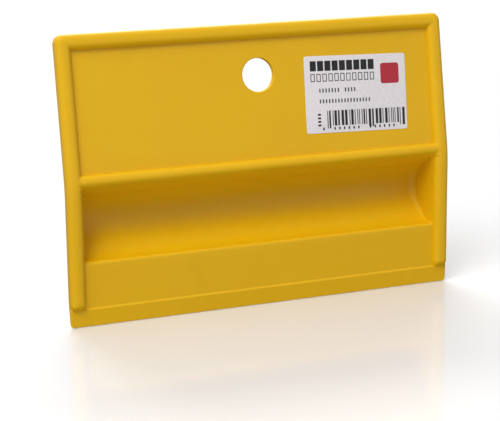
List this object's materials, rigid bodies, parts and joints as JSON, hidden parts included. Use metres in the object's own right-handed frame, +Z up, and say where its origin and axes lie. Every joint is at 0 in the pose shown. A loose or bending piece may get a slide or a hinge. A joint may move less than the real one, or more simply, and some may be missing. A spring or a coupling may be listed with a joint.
{
  "type": "wallpaper smoothing spatula",
  "caption": "Flat one-piece plastic smoothing spatula with a thin straight blade edge, a full-width finger groove, a raised border, a hanging hole and a paper label.",
  "frame": {"origin": "middle of the hanging hole, half way through the upper panel's wall", "axes": "+X along the blade to the right seen from the front, -Y out of the front with the groove, +Z up from the blade to the top edge"},
  "size_m": [0.15, 0.0188, 0.1026],
  "materials": {
    "yellow_plastic": "satin, fine moulded texture",
    "label_paper": "matt coated paper"
  },
  "bodies": {
    "root": {"spatula_body": "yellow_plastic", "label": "label_paper"}
  },
  "joints": []
}
